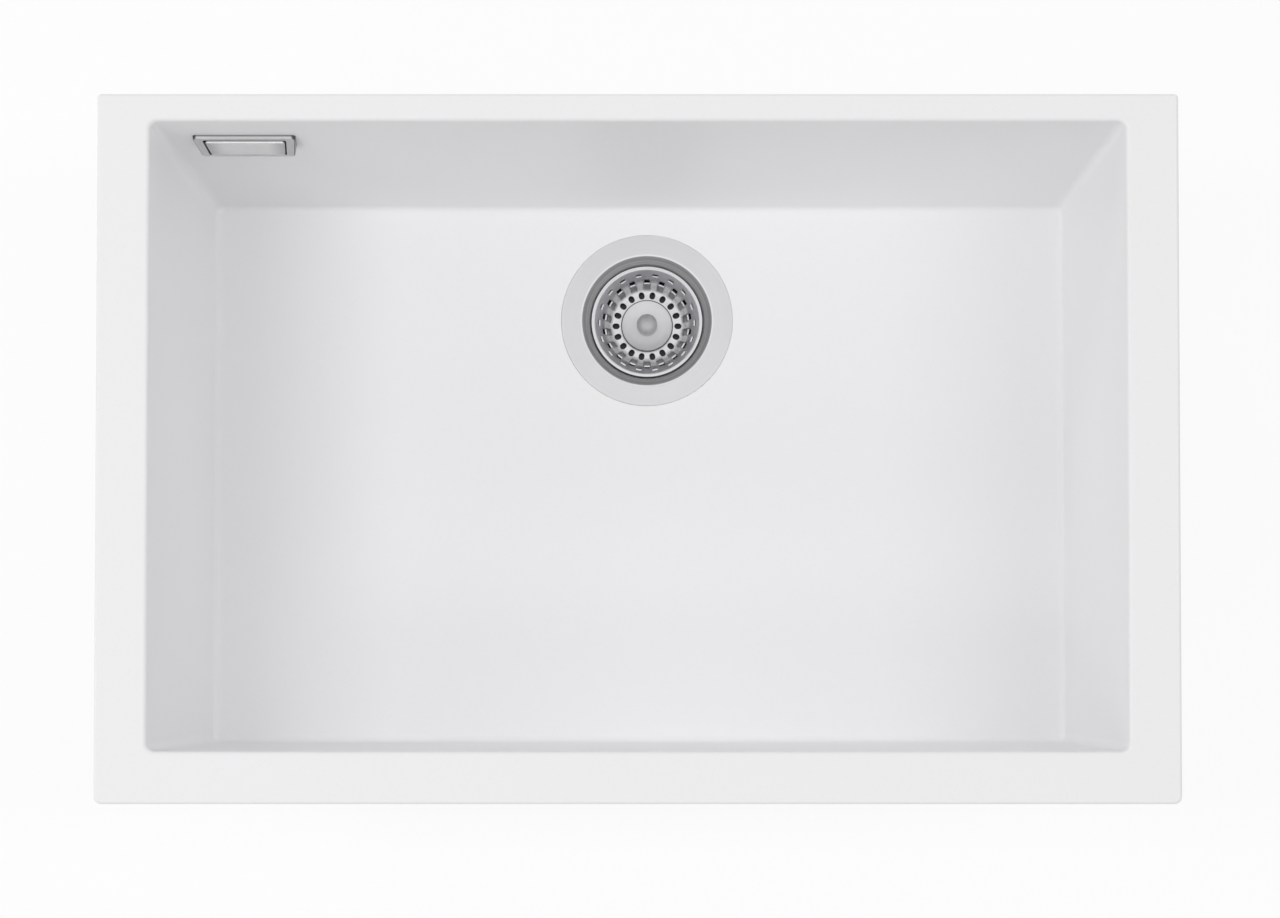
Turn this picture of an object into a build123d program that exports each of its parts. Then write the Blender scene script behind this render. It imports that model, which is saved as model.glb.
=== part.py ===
from build123d import *
import math
import os

# Kitchen sink: one moulded bowl with a drop-in rim, a basket waste and a piped overflow.
# Millimetres. Origin at the middle of the rim's outline, on its underside, where the worktop is.
# +X is to the right of a person at the sink, +Y is away from them, +Z is up.

# Rim
rim_length = 640.0
rim_depth = 420.0
rim_thickness = 9.0
rim_front_corner = 4.5
rim_back_corner = 2.4
rim_edge_round = 2.0
side_ledge = 31.0
front_ledge = 31.0
back_ledge = 16.0

# Bowl: each lean is how far a wall comes in between the rim's top and the drain
bowl_depth = 203.0
wall = 9.0
floor_thickness = 11.0
side_lean = 7.0
front_lean = 5.0
back_lean = 11.6
floor_slope = 0.012
mouth_corner_radius = 4.8
floor_corner_radius = 6.0
mouth_edge_round = 2.5
floor_edge_round = 4.5
underside_edge_round = 14.0

# Drain hole in the bowl, and the pad that the gasket presses on
drain_x = 5.0
drain_from_back_wall = 75.0
drain_hole_radius = 45.0
drain_pad_radius = 64.0
drain_pad_height = 2.0
recess_clearance = 0.15
recess_edge_round = 0.3

# Drain flange: a drawn steel cup with a flat flange
flange_radius = 57.0
flange_sheet = 1.2
flange_seal_thickness = 1.8
flange_seal_setback = 1.5
flange_roll = 1.6
throat_radius = 43.8
seat_radius = 37.9
seat_depth = 5.4
seat_round = 2.0
cup_floor_radius = 36.5
cup_corner_round = 5.0
outlet_slot_outer_radius = 26.0
outlet_slot_inner_radius = 14.0
outlet_spoke_width = 7.0

# Basket
basket_rim_radius = 37.0
basket_lip = 2.0
basket_rim_drop = 5.0
basket_depth = 20.0
basket_floor_radius = 24.2
basket_corner_round = 5.0
basket_lip_round = 1.0
basket_sheet = 0.8
floor_hole_count = 18
floor_hole_circle_radius = 20.9
floor_hole_length = 4.8
floor_hole_width = 3.9
wall_slot_width = 3.8
wall_slot_cut = 9.0
lower_slot_centre = 8.6
lower_slot_height = 4.4
upper_slot_centre = 14.6
upper_slot_height = 2.6

# Basket knob with its dish
dish_radius = 17.5
dish_rim_height = 2.8
dish_centre_height = 1.0
dish_edge_chamfer = 0.8
dish_foot_inset = 1.2
dish_foot_height = 0.8
knob_radius = 6.8
knob_neck_radius = 4.4
knob_neck_height = 6.5
knob_height = 13.0

# Stopper under the basket, and its stem
spacer_radius = 9.0
spacer_height = 4.2
stopper_radius = 26.0
stopper_thickness = 3.0
seal_radius = 32.0
seal_overlap = 2.5
seal_top = 1.4
seal_drop = 5.8
seal_lip_width = 3.2
seat_gap = 0.25
stud_radius = 2.5
stud_engagement = 9.0
stem_flange_radius = 7.0
stem_flange_thickness = 2.0
stem_radius = 3.35
stem_length = 13.0
stem_tip_round = 1.0
ring_section_radius = 0.9
ring_squeeze = 0.05
ring_from_tip = 4.0

# Hollow bolt that pulls the flange and the waste body together
bolt_bore_radius = 3.5
bolt_bore_depth = 16.0
bolt_radius = 5.9
bolt_length = 15.5
bolt_head_radius = 8.5
bolt_head_height = 2.5
bolt_slot_width = 2.0
bolt_slot_depth = 1.2
bolt_clearance = 0.15

# Threaded insert in the waste body's hub
insert_radius = 8.0
insert_length = 14.0
insert_depth = 1.0
insert_clearance = 0.05
insert_groove_width = 3.0
insert_groove_depth = 0.6

# Waste body
gasket_thickness = 3.0
gasket_width = 11.0
body_flange_radius = 60.0
body_flange_thickness = 5.0
body_radius = 52.0
body_wall = 3.0
body_neck_drop = 36.0
body_cone_height = 21.0
hub_radius = 12.0
hub_base = 3.0
hub_rib_thickness = 3.5
hub_rib_drop = 5.0
outlet_radius = 23.9
outlet_bore_radius = 20.0
outlet_length = 26.0
gusset_count = 8
gusset_height = 14.0
gusset_thickness = 3.0
port_drop = 22.0
port_length = 24.0

# Unions at both ends of the overflow pipe
spigot_radius = 13.0
spigot_bore_radius = 9.0
washer_thickness = 2.5
collar_radius = 12.4
collar_thickness = 2.5
nut_radius = 15.5
nut_grip_count = 16
nut_grip_radius = 1.1
nut_engagement = 10.0
nut_lip = 2.5
nut_clearance = 0.2
pipe_radius = 10.5
pipe_bore_radius = 8.5
pipe_bend_radius = 70.0

# Overflow: cover on the inside of the back wall, elbow on the outside
overflow_from_left = 51.0
overflow_below_rim = 42.5
overflow_slot_length = 48.0
overflow_slot_height = 16.0
overflow_slot_corner = 4.0
cover_length = 63.0
cover_height = 25.0
cover_corner = 3.0
cover_taper = 2.5
cover_top_stand = 2.2
cover_bottom_stand = 7.0
cover_draft = 8.0
cover_edge_round = 1.0
cover_pocket_round = 0.6
cover_side_border = 6.5
cover_top_bar = 3.2
cover_bottom_bar = 3.4
cover_floor = 1.4
cover_intake_length = 32.0
cover_intake_height = 7.0
cover_intake_corner = 1.5
cover_skirt_depth = 5.0
cover_skirt_wall = 1.2
cover_skirt_clearance = 0.3
plate_thickness = 1.1
plate_front_recess = 0.2
plate_side_clearance = 0.5
plate_slot = 2.0
plate_edge_round = 0.4
plate_corner = 1.5
plate_stud_radius = 1.6
plate_stud_spacing = 20.0
screw_spacing = 41.0
screw_radius = 1.6
screw_head_radius = 3.0
screw_head_height = 1.1
screw_clearance = 0.15
screw_bite = 8.0
overflow_seal_thickness = 2.0
elbow_wall = 2.5
elbow_inner_margin = 1.0
elbow_flange_margin = 5.5
elbow_flange_thickness = 3.0
elbow_corner = 4.0
elbow_top_depth = 10.5
elbow_bottom_depth = 18.0
elbow_edge_round = 3.0
elbow_boss_radius = 3.4
neck_length = 41.0
neck_depth = 14.0
neck_corner = 4.0
neck_drop = 24.0
elbow_spigot_length = 20.0
nut_wall_gap = 0.6

# Levels and places worked out from the sizes above
drain_z = rim_thickness - bowl_depth
underside_z = drain_z - floor_thickness
pad_z = underside_z - drain_pad_height
floor_back_y = rim_depth / 2 - back_ledge - back_lean
drain_y = floor_back_y - drain_from_back_wall
recess_radius = flange_radius + recess_clearance
recess_depth = flange_sheet + flange_seal_thickness
drain_level = Plane(origin=(drain_x, drain_y, drain_z))
drain_section = Plane(origin=(drain_x, drain_y, drain_z), x_dir=(1, 0, 0), z_dir=(0, -1, 0))
drain_axis = Axis((drain_x, drain_y, drain_z), (0, 0, 1))

# Depths below the drain's level, from the basket down to the cup's floor
basket_floor_z = -basket_rim_drop - basket_depth
spacer_top_z = basket_floor_z - basket_sheet
stopper_top_z = spacer_top_z - spacer_height
stopper_bottom_z = stopper_top_z - stopper_thickness
seal_bottom_z = stopper_bottom_z - seal_drop
cup_floor_z = seal_bottom_z - seat_gap
cup_bottom_z = cup_floor_z - flange_sheet

# Depths of the waste body below the drain's level
gasket_top_z = pad_z - drain_z
body_top_z = gasket_top_z - gasket_thickness
body_neck_z = body_top_z - body_neck_drop
body_cone_z = body_neck_z - body_cone_height
outlet_end_z = body_cone_z - outlet_length
hub_bottom_z = cup_bottom_z - insert_depth - insert_length - hub_base
port_z = body_top_z - port_drop

# Plane on the inside of the back wall at the overflow: local Z points into the bowl, local Y goes up
overflow_x = -rim_length / 2 + side_ledge + overflow_from_left
back_wall_angle = math.atan2(back_lean, bowl_depth)
wall_across = wall * math.cos(back_wall_angle)
overflow_y = rim_depth / 2 - back_ledge - back_lean * overflow_below_rim / bowl_depth
overflow_plane = Plane(
    origin=(overflow_x, overflow_y, rim_thickness - overflow_below_rim),
    x_dir=(1, 0, 0),
    z_dir=(0, -math.cos(back_wall_angle), math.sin(back_wall_angle)),
)
elbow_face = overflow_plane.offset(-wall_across - overflow_seal_thickness)
elbow_side = Plane(origin=elbow_face.origin, x_dir=-elbow_face.z_dir, z_dir=elbow_face.x_dir)

# Front of the overflow's cover, which leans out towards its lower edge
cover_lean = math.atan2(cover_bottom_stand - cover_top_stand, cover_height)
cover_front = Plane(
    origin=overflow_plane.from_local_coords((0, 0, (cover_top_stand + cover_bottom_stand) / 2)),
    x_dir=(1, 0, 0),
    z_dir=overflow_plane.z_dir * math.cos(cover_lean) + overflow_plane.y_dir * math.sin(cover_lean),
)

# The overflow pipe drops from the elbow, turns once and runs straight at the drain
elbow_inner_length = overflow_slot_length + 2 * elbow_inner_margin
elbow_inner_height = overflow_slot_height + 2 * elbow_inner_margin
elbow_length = elbow_inner_length + 2 * elbow_wall
elbow_height = elbow_inner_height + 2 * elbow_wall
neck_middle = (elbow_bottom_depth + elbow_flange_thickness) / 2
neck_top = elbow_face.from_local_coords((0, -elbow_height / 2, -neck_middle))
neck_end_z = neck_top.Z - neck_drop
spigot_end_z = neck_end_z - elbow_spigot_length
nut_top_drop = rim_thickness - spigot_end_z - nut_engagement
wall_behind_nut = rim_depth / 2 - back_ledge - back_lean * nut_top_drop / bowl_depth + wall
spigot_y = wall_behind_nut + nut_radius + nut_wall_gap
port_run = math.hypot(overflow_x - drain_x, spigot_y - drain_y)
port_direction = Vector((overflow_x - drain_x) / port_run, (spigot_y - drain_y) / port_run, 0)
port_angle = math.degrees(math.atan2(port_direction.Y, port_direction.X))
bend_normal = Vector(-port_direction.Y, port_direction.X, 0)
port_level = drain_z + port_z
drain_at_port = Vector(drain_x, drain_y, port_level)
port_end = drain_at_port + port_direction * (body_radius + port_length)
upper_union = Plane(origin=(overflow_x, spigot_y, spigot_end_z), x_dir=bend_normal, z_dir=(0, 0, -1))
lower_union = Plane(origin=port_end, x_dir=bend_normal, z_dir=port_direction)
pipe_start = upper_union.from_local_coords((0, 0, washer_thickness))
pipe_corner = Vector(overflow_x, spigot_y, port_level)
pipe_end = lower_union.from_local_coords((0, 0, washer_thickness))

os.makedirs("parts", exist_ok=True)


def write(part, name):
    """Label a finished piece and write it as its own file."""
    part.label = name
    export_step(part, f"parts/{name}.step")


def bowl_outline(height, grow, corner):
    """Outline of the bowl's inside at a height, grown outwards."""
    drop = (rim_thickness - height) / bowl_depth
    half_length = rim_length / 2 - side_ledge - side_lean * drop + grow
    front = -rim_depth / 2 + front_ledge + front_lean * drop - grow
    back = rim_depth / 2 - back_ledge - back_lean * drop + grow
    with BuildSketch(Plane.XY.offset(height)) as outline:
        with Locations((0, (front + back) / 2)):
            RectangleRounded(2 * half_length, back - front, corner)
    return outline.sketch


# The space inside the bowl, whose floor is a shallow cone that falls to the drain
cone_reach = math.hypot(rim_length, rim_depth)
with BuildPart() as bowl_space:
    cone_base_z = -floor_slope * recess_radius
    mouth = bowl_outline(rim_thickness, 0, mouth_corner_radius)
    below_floor = bowl_outline(drain_z + 2 * cone_base_z, 0, floor_corner_radius)
    loft(sections=[mouth, below_floor], ruled=True)
    with BuildSketch(drain_section):
        with BuildLine():
            Polyline(
                (0, cone_base_z),
                (cone_reach, cone_base_z + floor_slope * cone_reach),
                (cone_reach, 3 * cone_base_z),
                (0, 3 * cone_base_z),
                close=True,
            )
        make_face()
    revolve(axis=drain_axis, mode=Mode.SUBTRACT)
    fillet(bowl_space.faces().sort_by(Axis.Z)[0].edges(), floor_edge_round)

# Bowl and rim in one moulding
with BuildPart() as sink_bowl:
    with BuildSketch() as rim_outline:
        Rectangle(rim_length, rim_depth)
        fillet(rim_outline.vertices().group_by(Axis.Y)[0], rim_front_corner)
        fillet(rim_outline.vertices().group_by(Axis.Y)[-1], rim_back_corner)
    extrude(amount=rim_thickness)
    fillet(sink_bowl.faces().sort_by(Axis.Z)[-1].edges(), rim_edge_round)
    outside_top = bowl_outline(0, wall, mouth_corner_radius + wall)
    outside_bottom = bowl_outline(underside_z, wall, floor_corner_radius + wall)
    loft(sections=[outside_top, outside_bottom], ruled=True)
    fillet(sink_bowl.faces().sort_by(Axis.Z)[0].edges(), underside_edge_round)
    with BuildSketch(Plane(origin=(drain_x, drain_y, pad_z))):
        Circle(drain_pad_radius)
    extrude(amount=floor_thickness / 2 + drain_pad_height)
    add(bowl_space.part, mode=Mode.SUBTRACT)
    mouth_edges = sink_bowl.edges().filter_by_position(Axis.Z, rim_thickness, rim_thickness)
    inside_front = -rim_depth / 2 + rim_edge_round + 1
    inside_back = rim_depth / 2 - rim_edge_round - 1
    inside_side = rim_length / 2 - rim_edge_round - 1
    mouth_edges = mouth_edges.filter_by_position(Axis.Y, inside_front, inside_back)
    mouth_edges = mouth_edges.filter_by_position(Axis.X, -inside_side, inside_side)
    fillet(mouth_edges, mouth_edge_round)
    with Locations(drain_level):
        CounterBoreHole(drain_hole_radius, recess_radius, recess_depth)
    round_edges = sink_bowl.edges().filter_by(GeomType.CIRCLE)
    recess_edges = round_edges.filter_by(lambda edge: abs(edge.radius - recess_radius) < 0.01)
    fillet(recess_edges.sort_by(Axis.Z)[-1], recess_edge_round)
    with BuildSketch(overflow_plane):
        RectangleRounded(overflow_slot_length, overflow_slot_height, overflow_slot_corner)
    extrude(amount=2 * wall, both=True, mode=Mode.SUBTRACT)
write(sink_bowl.part, "sink_bowl")

# Drain flange: one steel sheet with a conical seat, and a cup with four outlets in its floor
with BuildPart() as drain_flange:
    with BuildSketch(drain_section):
        with BuildLine():
            FilletPolyline(
                (flange_radius, 0),
                (throat_radius, 0),
                (seat_radius, -seat_depth),
                (cup_floor_radius, cup_floor_z),
                (bolt_radius + bolt_clearance, cup_floor_z),
                radius=(flange_roll, seat_round, cup_corner_round),
            )
            offset(amount=flange_sheet, side=Side.LEFT)
        make_face()
    revolve(axis=drain_axis)
    with BuildSketch(drain_level.offset(cup_floor_z)):
        Circle(outlet_slot_outer_radius)
        Circle(outlet_slot_inner_radius, mode=Mode.SUBTRACT)
        Rectangle(2 * cup_floor_radius, outlet_spoke_width, mode=Mode.SUBTRACT)
        Rectangle(outlet_spoke_width, 2 * cup_floor_radius, mode=Mode.SUBTRACT)
    extrude(amount=2 * flange_sheet, both=True, mode=Mode.SUBTRACT)
write(drain_flange.part, "drain_flange")

# Seal between the flange and the recess in the bowl's floor
with BuildPart() as flange_seal:
    with BuildSketch(drain_level.offset(-recess_depth)):
        Circle(flange_radius)
        Circle(drain_hole_radius + flange_seal_setback, mode=Mode.SUBTRACT)
    extrude(amount=flange_seal_thickness)
write(flange_seal.part, "flange_seal")

# Gasket between the pad under the bowl and the waste body
with BuildPart() as body_gasket:
    with BuildSketch(drain_level.offset(body_top_z)):
        Circle(body_flange_radius)
        Circle(body_flange_radius - gasket_width, mode=Mode.SUBTRACT)
    extrude(amount=gasket_thickness)
write(body_gasket.part, "body_gasket")

# Waste body: flanged drum, cone, threaded outlet, hub on four ribs, and the overflow's port
with BuildPart() as waste_body:
    with BuildSketch(drain_section):
        with BuildLine():
            Polyline(
                (body_radius - body_wall, body_top_z),
                (body_flange_radius, body_top_z),
                (body_flange_radius, body_top_z - body_flange_thickness),
                (body_radius, body_top_z - body_flange_thickness),
                (body_radius, body_neck_z),
                (outlet_radius, body_cone_z),
                (outlet_radius, outlet_end_z),
                (outlet_bore_radius, outlet_end_z),
                (outlet_bore_radius, body_cone_z),
                (body_radius - body_wall, body_neck_z),
                close=True,
            )
        make_face()
    revolve(axis=drain_axis)
    with BuildSketch(drain_section) as gusset:
        with BuildLine():
            Polyline(
                (body_radius - body_wall / 2, body_top_z - body_flange_thickness),
                (body_flange_radius, body_top_z - body_flange_thickness),
                (body_radius - body_wall / 2, body_top_z - body_flange_thickness - gusset_height),
                close=True,
            )
        make_face()
    gusset_faces = [
        gusset.sketch.rotate(drain_axis, port_angle + 360 * (step + 0.5) / gusset_count)
        for step in range(gusset_count)
    ]
    for face in gusset_faces:
        extrude(face, amount=gusset_thickness / 2, both=True)
    with BuildSketch(drain_level.offset(hub_bottom_z)):
        Rectangle(2 * body_radius, hub_rib_thickness)
        Rectangle(hub_rib_thickness, 2 * body_radius)
        Circle(hub_radius)
    hub_cross = extrude(amount=cup_bottom_z - hub_rib_drop - hub_bottom_z, mode=Mode.PRIVATE)
    with BuildSketch(drain_section, mode=Mode.PRIVATE) as drum_inside:
        with BuildLine():
            Polyline(
                (0, body_top_z),
                (body_radius - body_wall / 2, body_top_z),
                (body_radius - body_wall / 2, body_neck_z),
                (outlet_bore_radius + body_wall / 2, body_cone_z),
                (0, body_cone_z),
                close=True,
            )
        make_face()
    drum_core = revolve(drum_inside.sketch, axis=drain_axis, mode=Mode.PRIVATE)
    add(hub_cross & drum_core)
    with BuildSketch(drain_level.offset(hub_bottom_z)):
        Circle(hub_radius)
    extrude(amount=cup_bottom_z - hub_bottom_z)
    with Locations(drain_level.offset(cup_bottom_z)):
        CounterBoreHole(bolt_radius + bolt_clearance, insert_radius, insert_depth + insert_length,
                        depth=insert_depth + insert_length + hub_base / 2)
    with BuildSketch(lower_union):
        Circle(spigot_radius)
    extrude(amount=-port_length - body_wall)
    with BuildSketch(lower_union):
        Circle(spigot_bore_radius)
    extrude(amount=-port_length - 2 * body_wall, mode=Mode.SUBTRACT)
write(waste_body.part, "waste_body")

# Threaded insert moulded into the hub, with one groove that keys it
with BuildPart() as thread_insert:
    insert_top_z = cup_bottom_z - insert_depth
    with BuildSketch(drain_level.offset(insert_top_z - insert_length)):
        Circle(insert_radius - insert_clearance)
        Circle(bolt_radius + bolt_clearance, mode=Mode.SUBTRACT)
    extrude(amount=insert_length)
    with BuildSketch(drain_level.offset(insert_top_z - (insert_length + insert_groove_width) / 2)):
        Circle(insert_radius)
        Circle(insert_radius - insert_clearance - insert_groove_depth, mode=Mode.SUBTRACT)
    extrude(amount=insert_groove_width, mode=Mode.SUBTRACT)
write(thread_insert.part, "thread_insert")

# Hollow bolt: its head sits on the cup's floor, and its bore guides the basket's stem
with BuildPart() as hollow_bolt:
    with BuildSketch(drain_level.offset(cup_floor_z)):
        Circle(bolt_head_radius)
    extrude(amount=bolt_head_height)
    chamfer(hollow_bolt.faces().sort_by(Axis.Z)[-1].edges(), bolt_slot_depth / 2)
    with BuildSketch(drain_level.offset(cup_floor_z)):
        Circle(bolt_radius)
    extrude(amount=-bolt_length)
    with BuildSketch(drain_level.offset(cup_floor_z + bolt_head_height)):
        Circle(bolt_bore_radius)
    extrude(amount=-bolt_bore_depth, mode=Mode.SUBTRACT)
    with BuildSketch(drain_level.offset(cup_floor_z + bolt_head_height)):
        Rectangle(2 * bolt_head_radius, bolt_slot_width)
    extrude(amount=-bolt_slot_depth, mode=Mode.SUBTRACT)
write(hollow_bolt.part, "hollow_bolt")

# Basket: one pressed sheet, with a ring of holes in its floor and rows of slots round its wall
with BuildPart() as basket_cup:
    basket_wall_top_radius = basket_rim_radius - basket_lip
    with BuildSketch(drain_section):
        with BuildLine():
            FilletPolyline(
                (basket_rim_radius, -basket_rim_drop),
                (basket_wall_top_radius, -basket_rim_drop),
                (basket_floor_radius, basket_floor_z),
                (stud_radius + bolt_clearance, basket_floor_z),
                radius=(basket_lip_round, basket_corner_round),
            )
            offset(amount=basket_sheet, side=Side.LEFT)
        make_face()
    revolve(axis=drain_axis)
    with BuildSketch(drain_level.offset(basket_floor_z)):
        with PolarLocations(floor_hole_circle_radius, floor_hole_count):
            SlotOverall(floor_hole_length, floor_hole_width)
    extrude(amount=2 * basket_sheet, both=True, mode=Mode.SUBTRACT)
    hole_step = 360 / floor_hole_count
    slot_rows = [
        (lower_slot_centre, lower_slot_height, hole_step / 2),
        (upper_slot_centre, upper_slot_height, 0),
    ]
    for slot_centre, slot_height, slot_start in slot_rows:
        wall_spread = basket_wall_top_radius - basket_floor_radius
        slot_circle = basket_floor_radius + wall_spread * slot_centre / basket_depth
        with Locations(drain_level.offset(basket_floor_z + slot_centre)):
            with PolarLocations(slot_circle, floor_hole_count, start_angle=slot_start):
                Box(wall_slot_cut, wall_slot_width, slot_height, mode=Mode.SUBTRACT)
write(basket_cup.part, "basket_cup")

# Knob that lifts the basket, turned in one piece with the dish that covers the basket's middle
with BuildPart() as basket_knob:
    dish_bottom = basket_floor_z
    knob_hole_radius = stud_radius + bolt_clearance
    knob_edge_z = dish_bottom + (knob_neck_height + knob_height) / 2
    with BuildSketch(drain_section):
        with BuildLine():
            Polyline(
                (0, dish_bottom + knob_height),
                (0, dish_bottom + stud_engagement),
                (knob_hole_radius, dish_bottom + stud_engagement),
                (knob_hole_radius, dish_bottom),
                (dish_radius - dish_foot_inset, dish_bottom),
                (dish_radius, dish_bottom + dish_foot_height),
                (dish_radius, dish_bottom + dish_rim_height - dish_edge_chamfer),
                (dish_radius - dish_edge_chamfer, dish_bottom + dish_rim_height),
            )
            ThreePointArc(
                (dish_radius - dish_edge_chamfer, dish_bottom + dish_rim_height),
                ((dish_radius + knob_neck_radius) / 2, dish_bottom + dish_centre_height),
                (knob_neck_radius, dish_bottom + dish_centre_height),
            )
            Polyline(
                (knob_neck_radius, dish_bottom + dish_centre_height),
                (knob_neck_radius, dish_bottom + knob_neck_height),
                (knob_radius, knob_edge_z),
            )
            TangentArc((0, dish_bottom + knob_height), (knob_radius, knob_edge_z), tangent=(1, 0))
        make_face()
    revolve(axis=drain_axis)
write(basket_knob.part, "basket_knob")

# Stopper plate: a disc on a spacer that holds it clear of the basket's floor
with BuildPart() as stopper_plate:
    with BuildSketch(drain_level.offset(stopper_bottom_z)):
        Circle(stopper_radius)
    extrude(amount=stopper_thickness)
    with BuildSketch(drain_level.offset(stopper_top_z)):
        Circle(spacer_radius)
    extrude(amount=spacer_height)
    with Locations(drain_level.offset(spacer_top_z)):
        Hole(stud_radius + bolt_clearance)
write(stopper_plate.part, "stopper_plate")

# Stopper seal: a rubber ring sprung over the plate's edge, with a lip that meets the cup's floor
with BuildPart() as stopper_seal:
    seal_inner_radius = stopper_radius - seal_overlap
    with BuildSketch(drain_section):
        with BuildLine():
            Polyline(
                (seal_inner_radius, stopper_top_z),
                (seal_inner_radius, stopper_top_z + seal_top),
                (seal_radius - seal_top, stopper_top_z + seal_top),
                (seal_radius, stopper_top_z),
                (seal_radius, seal_bottom_z),
                (seal_radius - seal_lip_width, seal_bottom_z),
                (seal_radius - seal_lip_width, stopper_bottom_z - seal_top),
                (seal_inner_radius, stopper_bottom_z - seal_top),
                (seal_inner_radius, stopper_bottom_z),
                (stopper_radius, stopper_bottom_z),
                (stopper_radius, stopper_top_z),
                close=True,
            )
        make_face()
    revolve(axis=drain_axis)
write(stopper_seal.part, "stopper_seal")

# Stem: a stud up into the knob, a flange under the stopper and a pin with a groove for its ring
with BuildPart() as stopper_stem:
    stem_top_z = stopper_bottom_z - stem_flange_thickness
    stem_tip_z = stem_top_z - stem_length
    ring_z = stem_tip_z + ring_from_tip
    ring_circle_radius = bolt_bore_radius - ring_squeeze - ring_section_radius
    with BuildSketch(drain_level.offset(stopper_bottom_z)):
        Circle(stud_radius)
    extrude(amount=basket_floor_z + stud_engagement - stopper_bottom_z)
    with BuildSketch(drain_level.offset(stopper_bottom_z)):
        Circle(stem_flange_radius)
    extrude(amount=-stem_flange_thickness)
    with BuildSketch(drain_level.offset(stem_top_z)):
        Circle(stem_radius)
    extrude(amount=-stem_length)
    chamfer(stopper_stem.faces().sort_by(Axis.Z)[0].edges(), stem_tip_round)
    with BuildSketch(drain_level.offset(ring_z - ring_section_radius)):
        Circle(stem_radius)
        Circle(ring_circle_radius - ring_section_radius, mode=Mode.SUBTRACT)
    extrude(amount=2 * ring_section_radius, mode=Mode.SUBTRACT)
write(stopper_stem.part, "stopper_stem")

# Rubber ring on the stem, whose drag in the bolt's bore holds the basket part-way up
with BuildPart() as stem_ring:
    with BuildSketch(drain_section):
        with Locations((ring_circle_radius, ring_z)):
            Circle(ring_section_radius)
    revolve(axis=drain_axis)
write(stem_ring.part, "stem_ring")

# Overflow cover: a steel frame that leans out, with a pocket, an intake and a skirt in the wall's slot
pocket_length = cover_length - 2 * cover_side_border
pocket_height = cover_height - cover_top_bar - cover_bottom_bar
pocket_y = (cover_bottom_bar - cover_top_bar) / 2
cover_normal = Axis(cover_front.origin, cover_front.z_dir)


def cover_outline(plane, length, height, middle, corner):
    """Outline of the cover, its pocket or its plate, whose sides close in towards the bottom."""
    side_angle = math.degrees(math.atan2(cover_height, cover_taper))
    with BuildSketch(plane) as outline:
        with Locations((0, middle)):
            Trapezoid(length, height, side_angle, rotation=180)
        fillet(outline.vertices(), corner)
    return outline.sketch


with BuildPart() as overflow_frame:
    cover_base = cover_outline(overflow_plane, cover_length, cover_height, 0, cover_corner)
    extrude(cover_base, amount=cover_bottom_stand + cover_top_stand, taper=cover_draft)
    split(bisect_by=cover_front, keep=Keep.BOTTOM)
    fillet(overflow_frame.faces().sort_by(cover_normal)[-1].edges(), cover_edge_round)
    pocket_level = overflow_plane.offset(cover_floor)
    pocket = cover_outline(pocket_level, pocket_length, pocket_height, pocket_y, cover_corner / 2)
    extrude(pocket, amount=cover_bottom_stand, mode=Mode.SUBTRACT)
    pocket_rim = overflow_frame.faces().sort_by(cover_normal)[-1].inner_wires()[0]
    fillet(pocket_rim.edges(), cover_pocket_round)
    skirt_height = overflow_slot_height - 2 * cover_skirt_clearance
    with BuildSketch(overflow_plane):
        skirt_length = overflow_slot_length - 2 * cover_skirt_clearance
        skirt_corner = overflow_slot_corner - cover_skirt_clearance
        RectangleRounded(skirt_length, skirt_height, skirt_corner)
        offset(amount=-cover_skirt_wall, mode=Mode.SUBTRACT)
    extrude(amount=-cover_skirt_depth)
    with BuildSketch(overflow_plane):
        intake_y = skirt_height / 2 - cover_skirt_wall - cover_intake_height / 2
        with Locations((0, intake_y)):
            RectangleRounded(cover_intake_length, cover_intake_height, cover_intake_corner)
        with GridLocations(screw_spacing, 0, 2, 1):
            Circle(screw_radius + screw_clearance)
    extrude(amount=2 * cover_floor, both=True, mode=Mode.SUBTRACT)
write(overflow_frame.part, "overflow_frame")

# Plate that hides the intake and the screws, held off the pocket's floor on two studs
with BuildPart() as overflow_plate:
    plate_length = pocket_length - 2 * plate_side_clearance - 2 * cover_taper * plate_slot / cover_height
    plate_rise = pocket_height - plate_side_clearance - plate_slot
    plate_middle = pocket_y + (plate_side_clearance - plate_slot) / 2
    plate_back = cover_front.offset(-plate_front_recess - plate_thickness)
    slope_stretch = 1 / math.cos(cover_lean)
    plate = cover_outline(
        plate_back, plate_length, plate_rise * slope_stretch, plate_middle * slope_stretch, plate_corner
    )
    extrude(plate, amount=plate_thickness)
    fillet(overflow_plate.faces().sort_by(cover_normal)[-1].edges(), plate_edge_round)
    stud_y = plate_middle - plate_rise / 4
    stand_at_stud = (cover_top_stand + cover_bottom_stand) / 2 - stud_y * math.tan(cover_lean)
    stud_top = stand_at_stud - (plate_front_recess + plate_thickness / 2) / math.cos(cover_lean)
    with BuildSketch(overflow_plane.offset(cover_floor)):
        with Locations((0, stud_y)):
            with GridLocations(plate_stud_spacing, 0, 2, 1):
                Circle(plate_stud_radius)
    extrude(amount=stud_top - cover_floor)
write(overflow_plate.part, "overflow_plate")

# Two screws that clamp the cover and the elbow on the wall
with BuildPart() as overflow_screws:
    with BuildSketch(overflow_plane.offset(cover_floor)):
        with GridLocations(screw_spacing, 0, 2, 1):
            Circle(screw_head_radius)
    extrude(amount=screw_head_height)
    with BuildSketch(overflow_plane.offset(cover_floor)):
        with GridLocations(screw_spacing, 0, 2, 1):
            Circle(screw_radius)
    extrude(amount=-cover_floor - wall_across - overflow_seal_thickness - screw_bite)
write(overflow_screws.part, "overflow_screws")

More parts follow.
